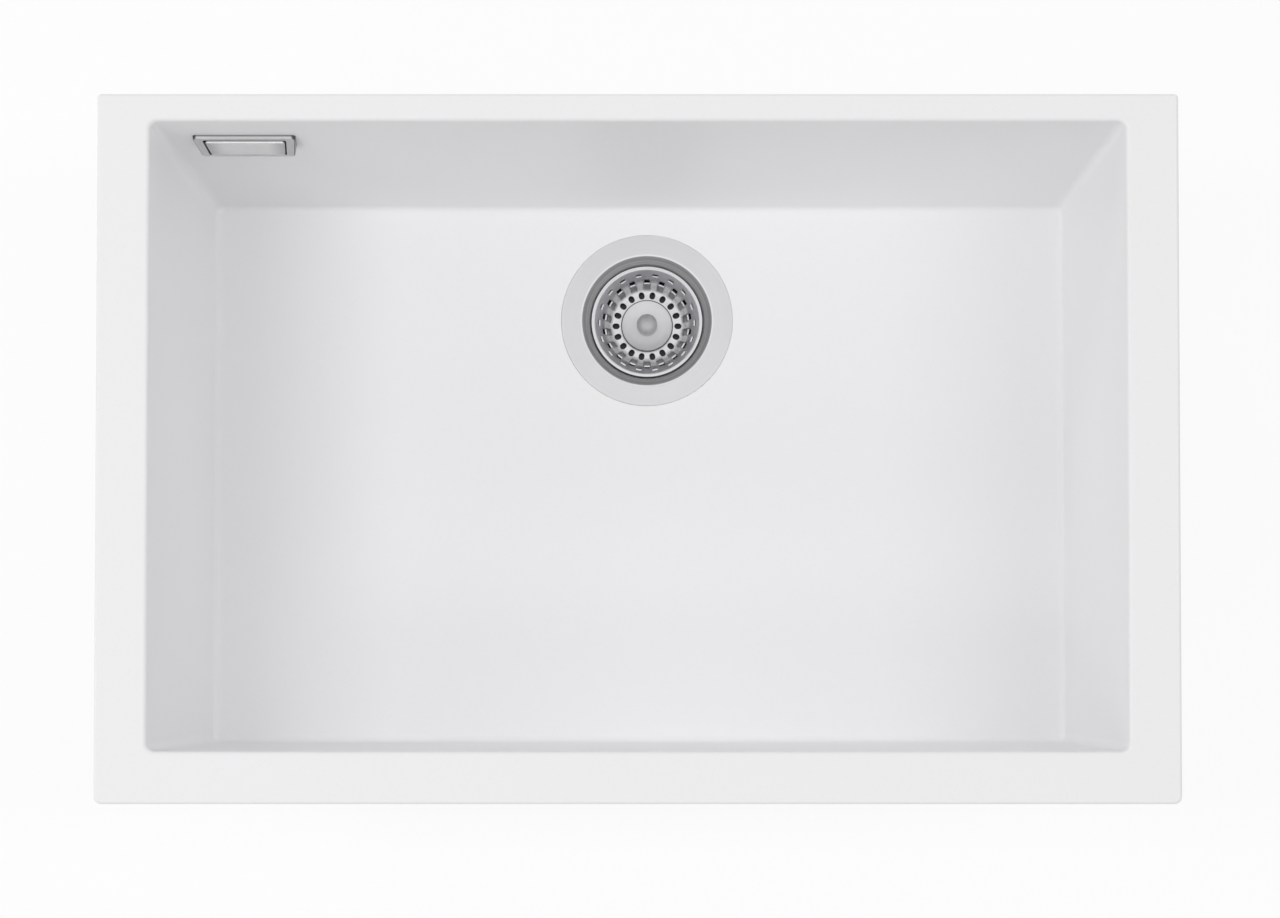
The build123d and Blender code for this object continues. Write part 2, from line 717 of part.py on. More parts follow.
# Seal between the elbow and the outside of the wall
elbow_flange_length = elbow_length + 2 * elbow_flange_margin
elbow_flange_height = elbow_height + 2 * elbow_flange_margin
with BuildPart() as overflow_seal:
    with BuildSketch(elbow_face):
        RectangleRounded(elbow_flange_length, elbow_flange_height, elbow_corner)
        RectangleRounded(elbow_inner_length, elbow_inner_height, elbow_corner, mode=Mode.SUBTRACT)
    extrude(amount=overflow_seal_thickness)
write(overflow_seal.part, "overflow_seal")

# Elbow behind the wall: a flanged chamber with a sloping back, two screw bosses and a neck down to a spigot
def elbow_profile(height, inset):
    """Side view of the elbow's chamber, or of the space inside it."""
    back_slope = (elbow_top_depth - elbow_bottom_depth) / elbow_height
    middle_depth = (elbow_top_depth + elbow_bottom_depth) / 2 - inset
    with BuildSketch(elbow_side) as profile:
        with BuildLine():
            Polyline(
                (0, height / 2),
                (middle_depth + back_slope * height / 2, height / 2),
                (middle_depth - back_slope * height / 2, -height / 2),
                (0, -height / 2),
                close=True,
            )
        make_face()
    return profile.sketch


def neck_sections(height, inset, end_radius):
    """Mouth of the neck in the chamber's bottom, and the round end that it narrows to."""
    mouth_origin = elbow_face.from_local_coords((0, -height / 2, -neck_middle))
    mouth_plane = Plane(origin=mouth_origin, x_dir=(1, 0, 0), z_dir=-elbow_face.y_dir)
    end_plane = Plane(origin=(overflow_x, spigot_y, neck_end_z), x_dir=(1, 0, 0), z_dir=(0, 0, -1))
    with BuildSketch(mouth_plane) as mouth_shape:
        RectangleRounded(neck_length - 2 * inset, neck_depth - 2 * inset, neck_corner - inset / 2)
    with BuildSketch(end_plane) as end_shape:
        Circle(end_radius)
    return [mouth_shape.sketch, end_shape.sketch]


spigot_foot = Plane(origin=(overflow_x, spigot_y, spigot_end_z))
with BuildPart() as overflow_elbow:
    extrude(elbow_profile(elbow_height, 0), amount=elbow_length / 2, both=True)
    back_face = overflow_elbow.faces().sort_by(Axis(elbow_face.origin, elbow_face.z_dir))[0]
    fillet(back_face.edges(), elbow_edge_round)
    with BuildSketch(elbow_face):
        RectangleRounded(elbow_flange_length, elbow_flange_height, elbow_corner)
    extrude(amount=-elbow_flange_thickness)
    loft(sections=neck_sections(elbow_height, 0, spigot_radius))
    with BuildSketch(spigot_foot):
        Circle(spigot_radius)
    extrude(amount=elbow_spigot_length)
    extrude(elbow_profile(elbow_inner_height, elbow_wall), amount=elbow_inner_length / 2, both=True,
            mode=Mode.SUBTRACT)
    loft(sections=neck_sections(elbow_inner_height, elbow_wall, spigot_bore_radius), mode=Mode.SUBTRACT)
    with BuildSketch(elbow_face):
        with GridLocations(screw_spacing, 0, 2, 1):
            Circle(elbow_boss_radius)
    extrude(amount=-(elbow_top_depth + elbow_bottom_depth - elbow_wall) / 2)
    with BuildSketch(elbow_face):
        with GridLocations(screw_spacing, 0, 2, 1):
            Circle(screw_radius + screw_clearance)
    extrude(amount=-screw_bite - elbow_wall / 2, mode=Mode.SUBTRACT)
    with BuildSketch(spigot_foot):
        Circle(spigot_bore_radius)
    extrude(amount=elbow_spigot_length, mode=Mode.SUBTRACT)
write(overflow_elbow.part, "overflow_elbow")


def union_washer(face):
    """Flat washer between a spigot's end and the pipe's collar."""
    with BuildPart() as washer:
        with BuildSketch(face):
            Circle(collar_radius)
            Circle(spigot_bore_radius, mode=Mode.SUBTRACT)
        extrude(amount=washer_thickness)
    return washer.part


def union_nut(face):
    """Nut that draws the pipe's collar up to a spigot, with grips round it."""
    lip_at = washer_thickness + collar_thickness
    with BuildPart() as nut:
        with BuildSketch(face.offset(-nut_engagement)):
            Circle(nut_radius)
            with PolarLocations(nut_radius, nut_grip_count):
                Circle(nut_grip_radius, mode=Mode.SUBTRACT)
        extrude(amount=nut_engagement + lip_at + nut_lip)
        with BuildSketch(face.offset(-nut_engagement)):
            Circle(spigot_radius + nut_clearance)
        extrude(amount=nut_engagement + lip_at, mode=Mode.SUBTRACT)
        with BuildSketch(face):
            Circle(pipe_radius + nut_clearance)
        extrude(amount=lip_at + 2 * nut_lip, mode=Mode.SUBTRACT)
    return nut.part


write(union_washer(upper_union), "upper_pipe_washer")
write(union_nut(upper_union), "upper_pipe_nut")
write(union_washer(lower_union), "lower_pipe_washer")
write(union_nut(lower_union), "lower_pipe_nut")

# Overflow pipe: one bent tube with a collar at each end
with BuildPart() as overflow_pipe:
    with BuildLine():
        FilletPolyline(pipe_start, pipe_corner, pipe_end, radius=pipe_bend_radius)
    with BuildSketch(upper_union.offset(washer_thickness)):
        Circle(pipe_radius)
        Circle(pipe_bore_radius, mode=Mode.SUBTRACT)
    sweep()
    for face in (upper_union, lower_union):
        with BuildSketch(face.offset(washer_thickness)):
            Circle(collar_radius)
            Circle(pipe_bore_radius, mode=Mode.SUBTRACT)
        extrude(amount=collar_thickness)
write(overflow_pipe.part, "overflow_pipe")
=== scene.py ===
"""Finishes, threads, camera and studio for a composite kitchen sink with a basket waste.

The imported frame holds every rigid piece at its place. This script gives those pieces their finishes, adds the
threads and the rolled edge that the frame leaves plain, and sets up a plain studio around them.
"""
from __future__ import annotations

import logging
import math
from dataclasses import dataclass, field
from enum import Enum

import bmesh
import bpy
from mathutils import Matrix, Vector

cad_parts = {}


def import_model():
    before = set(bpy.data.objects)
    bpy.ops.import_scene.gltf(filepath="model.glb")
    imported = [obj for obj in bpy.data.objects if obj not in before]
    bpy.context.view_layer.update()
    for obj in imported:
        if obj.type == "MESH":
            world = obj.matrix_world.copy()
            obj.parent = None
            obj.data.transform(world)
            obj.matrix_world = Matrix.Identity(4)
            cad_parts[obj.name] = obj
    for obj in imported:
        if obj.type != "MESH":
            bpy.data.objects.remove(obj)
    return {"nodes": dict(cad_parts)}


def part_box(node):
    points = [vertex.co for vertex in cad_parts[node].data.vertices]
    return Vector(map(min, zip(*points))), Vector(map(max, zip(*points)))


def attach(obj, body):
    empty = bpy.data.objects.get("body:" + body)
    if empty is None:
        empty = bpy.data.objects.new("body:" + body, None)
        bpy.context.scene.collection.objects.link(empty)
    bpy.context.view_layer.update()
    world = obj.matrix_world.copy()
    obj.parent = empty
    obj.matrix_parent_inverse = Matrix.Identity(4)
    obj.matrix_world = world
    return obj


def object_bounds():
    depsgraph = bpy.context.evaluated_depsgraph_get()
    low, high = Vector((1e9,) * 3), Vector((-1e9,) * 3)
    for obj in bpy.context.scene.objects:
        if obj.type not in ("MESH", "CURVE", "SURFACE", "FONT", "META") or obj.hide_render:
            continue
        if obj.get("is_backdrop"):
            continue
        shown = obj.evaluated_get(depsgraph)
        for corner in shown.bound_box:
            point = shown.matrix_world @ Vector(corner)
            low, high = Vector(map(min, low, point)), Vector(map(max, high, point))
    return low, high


log = logging.getLogger("kitchen_sink")

MM = 0.001

Colour = tuple[float, float, float]
Point = tuple[float, float, float]
Material = bpy.types.Material
Node = bpy.types.Node
NodeTree = bpy.types.NodeTree
Socket = bpy.types.NodeSocket

WHITE = (1.0, 1.0, 1.0, 1.0)
ORIGIN: Point = (0.0, 0.0, 0.0)
LEVEL: Point = (1.0, 1.0, 0.0)


class Body(Enum):
    """Bodies of the frame that new pieces ride on."""

    SINK = "sink"


class Slot(Enum):
    """Material slots of the record."""

    POLISHED_STEEL = "polished_steel"
    WASTE_PLASTIC = "waste_plastic"


class Lay(Enum):
    """Direction in which a steel surface was worked."""

    TURNED = "turned"
    BRUSHED = "brushed"


class LampShape(Enum):
    """Width and length of a lamp, in metres."""

    BAR = (0.5, 1.4)
    PANEL = (0.8, 0.8)


def shade(colour: Colour, share: float) -> Colour:
    """Multiply each part of a colour by a share."""
    return tuple(share * part for part in colour)


class ShaderTree:
    """A node tree with short calls that add nodes and join them."""

    def __init__(self, tree: NodeTree) -> None:
        """Keep the tree and empty it."""
        self.tree = tree
        self.tree.nodes.clear()

    def node(self, kind: str, **settings: object) -> Node:
        """Add one node.

        Args:
            kind: Blender's name of the node type.
            settings: Properties of the node, by name.

        Returns:
            The new node.
        """
        made = self.tree.nodes.new(kind)
        for name, value in settings.items():
            setattr(made, name, value)
        return made

    def put(self, target: Socket, source: object) -> None:
        """Join a socket to a target, or set the target's own value.

        Args:
            target: Input socket.
            source: Output socket, number or tuple.
        """
        if isinstance(source, Socket):
            self.tree.links.new(source, target)
        else:
            target.default_value = source

    def math(self, operation: str, first: object, second: object = 0.0) -> Socket:
        """Add a Math node.

        Args:
            operation: Blender's name of the operation.
            first: Socket or number.
            second: Socket or number.

        Returns:
            The node's value socket.
        """
        made = self.node("ShaderNodeMath", operation=operation)
        self.put(made.inputs[0], first)
        self.put(made.inputs[1], second)
        return made.outputs[0]

    def product(self, *factors: Socket) -> Socket:
        """Multiply masks together.

        Args:
            factors: Sockets of the masks.

        Returns:
            The product's socket.
        """
        result = factors[0]
        for factor in factors[1:]:
            result = self.math("MULTIPLY", result, factor)
        return result

    def vector(self, operation: str, first: object, second: object = ORIGIN) -> Node:
        """Add a Vector Math node.

        Args:
            operation: Blender's name of the operation.
            first: Socket or tuple.
            second: Socket or tuple.

        Returns:
            The new node.
        """
        made = self.node("ShaderNodeVectorMath", operation=operation)
        self.put(made.inputs[0], first)
        self.put(made.inputs[1], second)
        return made

    def split(self, vector: Socket) -> list[Socket]:
        """Split a vector into its parts.

        Args:
            vector: Socket of the vector.

        Returns:
            The X, Y and Z sockets.
        """
        made = self.node("ShaderNodeSeparateXYZ")
        self.put(made.inputs[0], vector)
        return list(made.outputs)

    def off_axis(self, vector: Socket) -> Socket:
        """Find a vector's distance from the upright axis.

        Args:
            vector: Socket of the vector.

        Returns:
            The distance's socket.
        """
        flat = self.vector("MULTIPLY", vector, LEVEL)
        return self.vector("LENGTH", flat.outputs[0]).outputs["Value"]

    def span(self, value: object, low: float, high: float, to_low: object, to_high: object,
             smooth: bool = False) -> Socket:
        """Add a Map Range node.

        Args:
            value: Socket to map.
            low: Value that maps to to_low.
            high: Value that maps to to_high.
            to_low: Socket or number.
            to_high: Socket or number.
            smooth: Whether the step is eased at both ends.

        Returns:
            The mapped value's socket.
        """
        made = self.node("ShaderNodeMapRange", interpolation_type="SMOOTHSTEP" if smooth else "LINEAR")
        for index, entry in enumerate((value, low, high, to_low, to_high)):
            self.put(made.inputs[index], entry)
        return made.outputs["Result"]

    def mask(self, value: Socket, zero_at: float, one_at: float) -> Socket:
        """Make a mask that is 0 at one value of a socket and 1 at another."""
        return self.span(value, zero_at, one_at, 0.0, 1.0)

    def blend(self, factor: object, first: object, second: object) -> Socket:
        """Mix two colours.

        Args:
            factor: Socket or number, 0 for the first colour.
            first: Socket or colour.
            second: Socket or colour.

        Returns:
            The mixed colour's socket.
        """
        made = self.node("ShaderNodeMix", data_type="RGBA")
        colours = [socket for socket in made.inputs if socket.type == "RGBA"]
        self.put(made.inputs[0], factor)
        for target, source in zip(colours, (first, second)):
            self.put(target, (*source, 1.0) if isinstance(source, tuple) else source)
        return [socket for socket in made.outputs if socket.type == "RGBA"][0]

    def noise(self, where: Socket, scale: object, octaves: float, keep: float) -> Socket:
        """Add a noise texture.

        Args:
            where: Vector socket.
            scale: Socket or number, in cells per metre.
            octaves: Number of octaves.
            keep: Share that each octave keeps.

        Returns:
            The noise value's socket.
        """
        made = self.node("ShaderNodeTexNoise")
        self.put(made.inputs["Vector"], where)
        self.put(made.inputs["Scale"], scale)
        self.put(made.inputs["Detail"], octaves)
        self.put(made.inputs["Roughness"], keep)
        return made.outputs[0]


@dataclass
class SurfaceGroups:
    """Shader node groups that several finishes share, each built once."""

    pale_from: float = 0.9
    dark_from: float = 0.92
    clouds_per_metre: float = 9.0
    mark_span: tuple[float, float] = (0.3, 0.7)
    patch_span: tuple[float, float] = (0.35, 0.65)
    grain: NodeTree = field(init=False)
    turned: NodeTree = field(init=False)
    brushed: NodeTree = field(init=False)
    handling: NodeTree = field(init=False)

    def __post_init__(self) -> None:
        """Build every group."""
        self.grain = self._grain()
        self.turned = self._turned()
        self.brushed = self._brushed()
        self.handling = self._handling()

    @staticmethod
    def _start(name: str, inputs: dict[str, str], outputs: list[str]) -> tuple[ShaderTree, Node, Node]:
        """Make an empty group with named sockets.

        Args:
            name: Name of the group.
            inputs: Socket types by socket name.
            outputs: Names of the value sockets that the group puts out.

        Returns:
            The group's tree, its input node and its output node.
        """
        tree = bpy.data.node_groups.new(name, "ShaderNodeTree")
        for socket, kind in inputs.items():
            tree.interface.new_socket(socket, in_out="INPUT", socket_type=kind)
        for socket in outputs:
            tree.interface.new_socket(socket, in_out="OUTPUT", socket_type="NodeSocketFloat")
        shader = ShaderTree(tree)
        return shader, shader.node("NodeGroupInput"), shader.node("NodeGroupOutput")

    def _grain(self) -> NodeTree:
        """Build the fine grain of quartz composite and moulded plastic.

        Returns:
            A group that puts out pale and dark grains, soft clouds and a bump height.
        """
        shader, given, result = self._start(
            "mineral_grain", {"Vector": "NodeSocketVector", "Grains": "NodeSocketFloat"},
            ["Pale", "Dark", "Cloud", "Height"])
        cells = shader.node("ShaderNodeTexVoronoi", feature="F1")
        shader.put(cells.inputs["Vector"], given.outputs["Vector"])
        shader.put(cells.inputs["Scale"], given.outputs["Grains"])
        channels = shader.node("ShaderNodeSeparateColor")
        shader.put(channels.inputs[0], cells.outputs["Color"])
        fine = shader.noise(given.outputs["Vector"], given.outputs["Grains"], octaves=3.0, keep=0.6)
        cloud = shader.noise(given.outputs["Vector"], self.clouds_per_metre, octaves=3.0, keep=0.55)
        shader.put(result.inputs["Pale"], shader.mask(channels.outputs[0], self.pale_from, 1.0))
        shader.put(result.inputs["Dark"], shader.mask(channels.outputs[1], self.dark_from, 1.0))
        shader.put(result.inputs["Cloud"], shader.mask(cloud, *self.mark_span))
        shader.put(result.inputs["Height"], fine)
        return shader.tree

    def _turned(self) -> NodeTree:
        """Build the fine rings that a lathe or a round brush leaves.

        Returns:
            A group that puts out the radius from an upright axis, ring marks and the marks' height.
        """
        shader, given, result = self._start(
            "turned_marks",
            {"Vector": "NodeSocketVector", "Centre": "NodeSocketVector", "Rings": "NodeSocketFloat"},
            ["Radius", "Mark", "Height"])
        place = shader.vector("SUBTRACT", given.outputs["Vector"], given.outputs["Centre"]).outputs[0]
        radius = shader.off_axis(place)
        ring = shader.node("ShaderNodeCombineXYZ")
        shader.put(ring.inputs[0], radius)
        shader.put(ring.inputs[1], shader.split(place)[2])
        marks = shader.noise(ring.outputs[0], given.outputs["Rings"], octaves=4.0, keep=0.65)
        shader.put(result.inputs["Radius"], radius)
        shader.put(result.inputs["Mark"], shader.mask(marks, *self.mark_span))
        shader.put(result.inputs["Height"], marks)
        return shader.tree

    def _brushed(self) -> NodeTree:
        """Build straight brush lines along X.

        Returns:
            A group that puts out line marks and the marks' height.
        """
        shader, given, result = self._start(
            "brush_lines",
            {"Vector": "NodeSocketVector", "Lines": "NodeSocketFloat", "Stretch": "NodeSocketFloat"},
            ["Mark", "Height"])
        scale = shader.node("ShaderNodeCombineXYZ")
        along = shader.math("DIVIDE", 1.0, given.outputs["Stretch"])
        for target, part in zip(scale.inputs, (along, 1.0, 1.0)):
            shader.put(target, part)
        long_cells = shader.vector("MULTIPLY", given.outputs["Vector"], scale.outputs[0])
        lines = shader.noise(long_cells.outputs[0], given.outputs["Lines"], octaves=4.0, keep=0.65)
        shader.put(result.inputs["Mark"], shader.mask(lines, *self.mark_span))
        shader.put(result.inputs["Height"], lines)
        return shader.tree

    def _handling(self) -> NodeTree:
        """Build the soft unevenness that use and wiping leave.

        Returns:
            A group that puts out a slow mask between 0 and 1.
        """
        shader, given, result = self._start(
            "handling_wear", {"Vector": "NodeSocketVector", "Patches": "NodeSocketFloat"}, ["Mask"])
        slow = shader.noise(given.outputs["Vector"], given.outputs["Patches"], octaves=4.0, keep=0.6)
        shader.put(result.inputs["Mask"], shader.mask(slow, *self.patch_span))
        return shader.tree


class Dresser:
    """Starts materials on Object coordinates and places the shared groups in them."""

    def __init__(self, groups: SurfaceGroups) -> None:
        """Keep the shared groups."""
        self.groups = groups

    def start(self, name: str) -> tuple[Material, ShaderTree, Node, Socket]:
        """Make a material with a Principled shader.

        Args:
            name: Name of the material.

        Returns:
            The material, its tree, the shader node and the Object coordinates' socket.
        """
        material = bpy.data.materials.new(name)
        material.use_nodes = True
        shader = ShaderTree(material.node_tree)
        output = shader.node("ShaderNodeOutputMaterial")
        surface = shader.node("ShaderNodeBsdfPrincipled")
        shader.put(output.inputs["Surface"], surface.outputs[0])
        return material, shader, surface, shader.node("ShaderNodeTexCoord").outputs["Object"]

    @staticmethod
    def group(shader: ShaderTree, tree: NodeTree, **values: object) -> Node:
        """Place a shared group with its own values.

        Args:
            shader: Tree of the material.
            tree: The group.
            values: Sockets or values by input name.

        Returns:
            The group's node.
        """
        made = shader.node("ShaderNodeGroup", node_tree=tree)
        for name, value in values.items():
            shader.put(made.inputs[name], value)
        return made

    @staticmethod
    def bump(shader: ShaderTree, surface: Node, height: Socket, depth: float, strength: float) -> None:
        """Drive a shader's normal from a height.

        Args:
            shader: Tree of the material.
            surface: Principled shader node.
            height: Socket of the height.
            depth: Height of the marks in metres.
            strength: Share of the bump that shows.
        """
        made = shader.node("ShaderNodeBump")
        shader.put(made.inputs["Strength"], strength)
        shader.put(made.inputs["Distance"], depth)
        shader.put(made.inputs["Height"], height)
        shader.put(surface.inputs["Normal"], made.outputs[0])


@dataclass(frozen=True)
class BowlShape:
    """Inner faces of the bowl, whose walls lean inward from the mouth to the floor."""

    rim_top: float = 9.0 * MM
    depth: float = 203.0 * MM
    half_wall: float = 4.5 * MM
    half_floor: float = 6.3 * MM
    mouth_half_length: float = 289.0 * MM
    mouth_front: float = 179.0 * MM
    mouth_back: float = 194.0 * MM
    side_lean: float = 7.0 * MM
    front_lean: float = 5.0 * MM
    back_lean: float = 11.6 * MM
    fade: float = 0.5 * MM
    rim_fade: float = 0.6 * MM

    def wall_at(self, shader: ShaderTree, up: Socket, mouth: float, lean: float) -> Socket:
        """Find how far out a leaning face stands at a height.

        Args:
            shader: Tree of the material.
            up: Socket of the height.
            mouth: Distance of the face at the rim's top.
            lean: How far the face comes in on its way to the floor.

        Returns:
            Socket of the distance.
        """
        drop = shader.math("DIVIDE", shader.math("SUBTRACT", self.rim_top, up), self.depth)
        return shader.math("SUBTRACT", mouth, shader.math("MULTIPLY", drop, lean))

    def off_back_wall(self, shader: ShaderTree, where: Socket) -> Socket:
        """Find how far a point stands in front of the back wall.

        Args:
            shader: Tree of the material.
            where: Object coordinates.

        Returns:
            Socket of the distance.
        """
        _, away, up = shader.split(where)
        return shader.math("SUBTRACT", self.wall_at(shader, up, self.mouth_back, self.back_lean), away)

    def hidden_side(self, shader: ShaderTree, where: Socket) -> Socket:
        """Find the side of the casting that a worktop hides.

        Args:
            shader: Tree of the material.
            where: Object coordinates.

        Returns:
            Socket that is 1 behind the walls, under the rim and under the floor.
        """
        across, away, up = shader.split(where)
        walls = (
            (shader.math("ABSOLUTE", across), self.mouth_half_length, self.side_lean),
            (away, self.mouth_back, self.back_lean),
            (shader.math("MULTIPLY", away, -1.0), self.mouth_front, self.front_lean),
        )
        beyond = shader.math("SUBTRACT", self.rim_top - self.depth - self.half_floor, up)
        for reach, mouth, lean in walls:
            middle = self.wall_at(shader, up, mouth + self.half_wall, lean)
            beyond = shader.math("MAXIMUM", beyond, shader.math("SUBTRACT", reach, middle))
        behind = shader.mask(beyond, -self.fade, self.fade)
        return shader.math("MULTIPLY", behind, shader.mask(up, self.rim_fade, 0.0))


@dataclass(frozen=True)
class CompositeFinish:
    """Fine-grained quartz composite, satin in the bowl and on the rim, dull on the back of the casting."""

    base: Colour = (0.936, 0.936, 0.944)
    pale: Colour = (0.955, 0.955, 0.955)
    dark: Colour = (0.88, 0.88, 0.88)
    pale_share: float = 0.5
    dark_share: float = 0.35
    back: Colour = (0.885, 0.885, 0.882)
    back_dark: Colour = (0.856, 0.856, 0.851)
    grains_per_metre: float = 1100.0
    wear_patches: float = 18.0
    mottles_per_metre: float = 55.0
    mottle_span: tuple[float, float] = (0.35, 0.65)
    pits_per_metre: float = 260.0
    pit_weight: float = 4.0
    wiped_roughness: float = 0.39
    worn_roughness: float = 0.46
    back_roughness: float = 0.66
    specular: float = 0.35
    skin_depth: float = 0.1 * MM
    skin_strength: float = 0.12

    def material(self, dresser: Dresser, bowl: BowlShape) -> Material:
        """Build the material.

        Args:
            dresser: Starts the material and holds the shared groups.
            bowl: Shape that tells the casting's two sides apart.

        Returns:
            The finished material.
        """
        material, shader, surface, where = dresser.start("quartz_composite")
        grain = dresser.group(shader, dresser.groups.grain, Vector=where, Grains=self.grains_per_metre)
        wear = dresser.group(shader, dresser.groups.handling, Vector=where, Patches=self.wear_patches)
        hidden = bowl.hidden_side(shader, where)
        pale = shader.math("MULTIPLY", grain.outputs["Pale"], self.pale_share)
        dark = shader.math("MULTIPLY", grain.outputs["Dark"], self.dark_share)
        face = shader.blend(dark, shader.blend(pale, self.base, self.pale), self.dark)
        uneven = shader.noise(where, self.mottles_per_metre, octaves=4.0, keep=0.65)
        back = shader.blend(shader.mask(uneven, *self.mottle_span), self.back, self.back_dark)
        shader.put(surface.inputs["Base Color"], shader.blend(hidden, face, back))
        satin = shader.span(wear.outputs["Mask"], 0.0, 1.0, self.wiped_roughness, self.worn_roughness)
        shader.put(surface.inputs["Roughness"], shader.span(hidden, 0.0, 1.0, satin, self.back_roughness))
        surface.inputs["Specular IOR Level"].default_value = self.specular
        pits = shader.product(shader.noise(where, self.pits_per_metre, octaves=3.0, keep=0.6), hidden)
        skin = shader.math("ADD", grain.outputs["Height"], shader.math("MULTIPLY", pits, self.pit_weight))
        dresser.bump(shader, surface, skin, self.skin_depth, self.skin_strength)
        return material


@dataclass
class SteelSkin:
    """A steel surface in the making: where it is read, and the values that its zones change."""

    dresser: Dresser
    shader: ShaderTree
    where: Socket
    centre: Vector
    radius: Socket | None
    colour: Socket
    roughness: Socket
    metallic: Socket | float


@dataclass(frozen=True)
class BandedZone:
    """A ring of darker, banded steel about the axis."""

    inner: float
    outer: float
    share: float
    band_shade: float
    added_roughness: float
    bands_per_metre: float = 480.0
    edge: float = 0.3 * MM

    def lay(self, skin: SteelSkin, colour: Colour) -> None:
        """Lay the bands over a surface.

        Args:
            skin: Surface to change.
            colour: Plain colour of the steel.
        """
        shader, dresser = skin.shader, skin.dresser
        zone = shader.product(shader.mask(skin.radius, self.outer + self.edge, self.outer - self.edge),
                              shader.mask(skin.radius, self.inner - self.edge, self.inner))
        bands = dresser.group(shader, dresser.groups.turned, Vector=skin.where, Centre=skin.centre,
                              Rings=self.bands_per_metre)
        dark = shade(colour, self.share)
        banded = shader.blend(bands.outputs["Mark"], shade(dark, self.band_shade), dark)
        skin.colour = shader.blend(zone, skin.colour, banded)
        added = shader.math("MULTIPLY", zone, self.added_roughness)
        skin.roughness = shader.math("ADD", skin.roughness, added)
        if skin.metallic < 1.0:
            skin.metallic = shader.span(zone, 0.0, 1.0, skin.metallic, 1.0)


@dataclass(frozen=True)
class PaintedLightRing:
    """A narrow ring about the axis in the colour: painted shade where it is darker, a painted highlight where
    it is brighter than the steel round it.
    """

    radius: float
    half: float = 0.35 * MM
    share: float = 0.2
    fade: float = 0.5

    def lay(self, skin: SteelSkin, colour: Colour) -> None:
        """Lay the ring over a surface.

        Args:
            skin: Surface to change.
            colour: Plain colour of the steel.
        """
        shader = skin.shader
        off_line = shader.math("ABSOLUTE", shader.math("SUBTRACT", skin.radius, self.radius))
        line = shader.mask(off_line, (1.0 + self.fade) * self.half, (1.0 - self.fade) * self.half)
        # Painted shade or painted highlight: the ring's colour is the steel's colour times the share.
        skin.colour = shader.blend(line, skin.colour, shade(colour, self.share))


@dataclass(frozen=True)
class PaintedHighlightLands:
    """Painted highlights: pale, less metallic lands in a ring about the axis, one beside each hole, on upper
    faces only.
    """

    count: int
    inner: float = 23.4 * MM
    inner_edge: float = 0.3 * MM
    outer: float = 29.5 * MM
    outer_edge: float = 1.5 * MM
    colour: Colour = (0.76, 0.76, 0.765)
    metallic: float = 0.25
    wave_span: tuple[float, float] = (-0.1, 0.35)
    facing_span: tuple[float, float] = (0.0, 0.15)

    def lay(self, skin: SteelSkin, colour: Colour) -> None:
        """Lay the painted highlight lands over a surface.

        Args:
            skin: Surface to change.
            colour: Plain colour of the steel, which the painted highlights don't show.
        """
        shader = skin.shader
        across, away, _ = shader.split(shader.vector("SUBTRACT", skin.where, tuple(skin.centre)).outputs[0])
        angle = shader.math("ARCTAN2", away, across)
        wave = shader.math("COSINE", shader.math("MULTIPLY", angle, float(self.count)))
        facing = shader.split(shader.node("ShaderNodeNewGeometry").outputs["Normal"])[2]
        painted_highlight = shader.product(
            shader.mask(wave, *self.wave_span),
            shader.mask(skin.radius, self.inner - self.inner_edge, self.inner + self.inner_edge),
            shader.mask(skin.radius, self.outer, self.outer - self.outer_edge),
            shader.mask(facing, *self.facing_span))
        # Painted highlight: lands on upper faces take a paler, less metallic finish.
        skin.colour = shader.blend(painted_highlight, skin.colour, self.colour)
        skin.metallic = shader.span(painted_highlight, 0.0, 1.0, skin.metallic, self.metallic)


@dataclass(frozen=True)
class SteelFinish:
    """Stainless steel with the fine marks of its working, and zones laid over it: darker bands, painted shade
    and painted highlights.
    """

    name: str
    lay: Lay
    colour: Colour
    roughness: float
    metallic: float = 1.0
    marks_per_metre: float = 2500.0
    line_stretch: float = 40.0
    mark_depth: float = 0.05 * MM
    mark_strength: float = 0.15
    mark_shade: float = 0.93
    mark_roughness: float = 0.08
    wear_patches: float = 60.0
    wear_roughness: float = 0.05
    centre: Vector = field(default_factory=Vector)
    zones: tuple[BandedZone | PaintedLightRing | PaintedHighlightLands, ...] = ()

    def material(self, dresser: Dresser) -> Material:
        """Build the material.

        Args:
            dresser: Starts the material and holds the shared groups.

        Returns:
            The finished material.
        """
        material, shader, surface, where = dresser.start(self.name)
        wear = dresser.group(shader, dresser.groups.handling, Vector=where, Patches=self.wear_patches)
        if self.lay is Lay.BRUSHED:
            marks = dresser.group(shader, dresser.groups.brushed, Vector=where, Lines=self.marks_per_metre,
                                  Stretch=self.line_stretch)
        else:
            marks = dresser.group(shader, dresser.groups.turned, Vector=where, Centre=self.centre,
                                  Rings=self.marks_per_metre)
        streak = shader.math("MULTIPLY", marks.outputs["Mark"], self.mark_roughness)
        smudge = shader.math("MULTIPLY", wear.outputs["Mask"], self.wear_roughness)
        skin = SteelSkin(
            dresser, shader, where, self.centre, marks.outputs.get("Radius"),
            colour=shader.blend(marks.outputs["Mark"], shade(self.colour, self.mark_shade), self.colour),
            roughness=shader.math("ADD", shader.math("ADD", streak, smudge), self.roughness),
            metallic=self.metallic)
        for zone in self.zones:
            zone.lay(skin, self.colour)
        shader.put(surface.inputs["Base Color"], skin.colour)
        shader.put(surface.inputs["Roughness"], skin.roughness)
        shader.put(surface.inputs["Metallic"], skin.metallic)
        dresser.bump(shader, surface, marks.outputs["Height"], self.mark_depth, self.mark_strength)
        return material


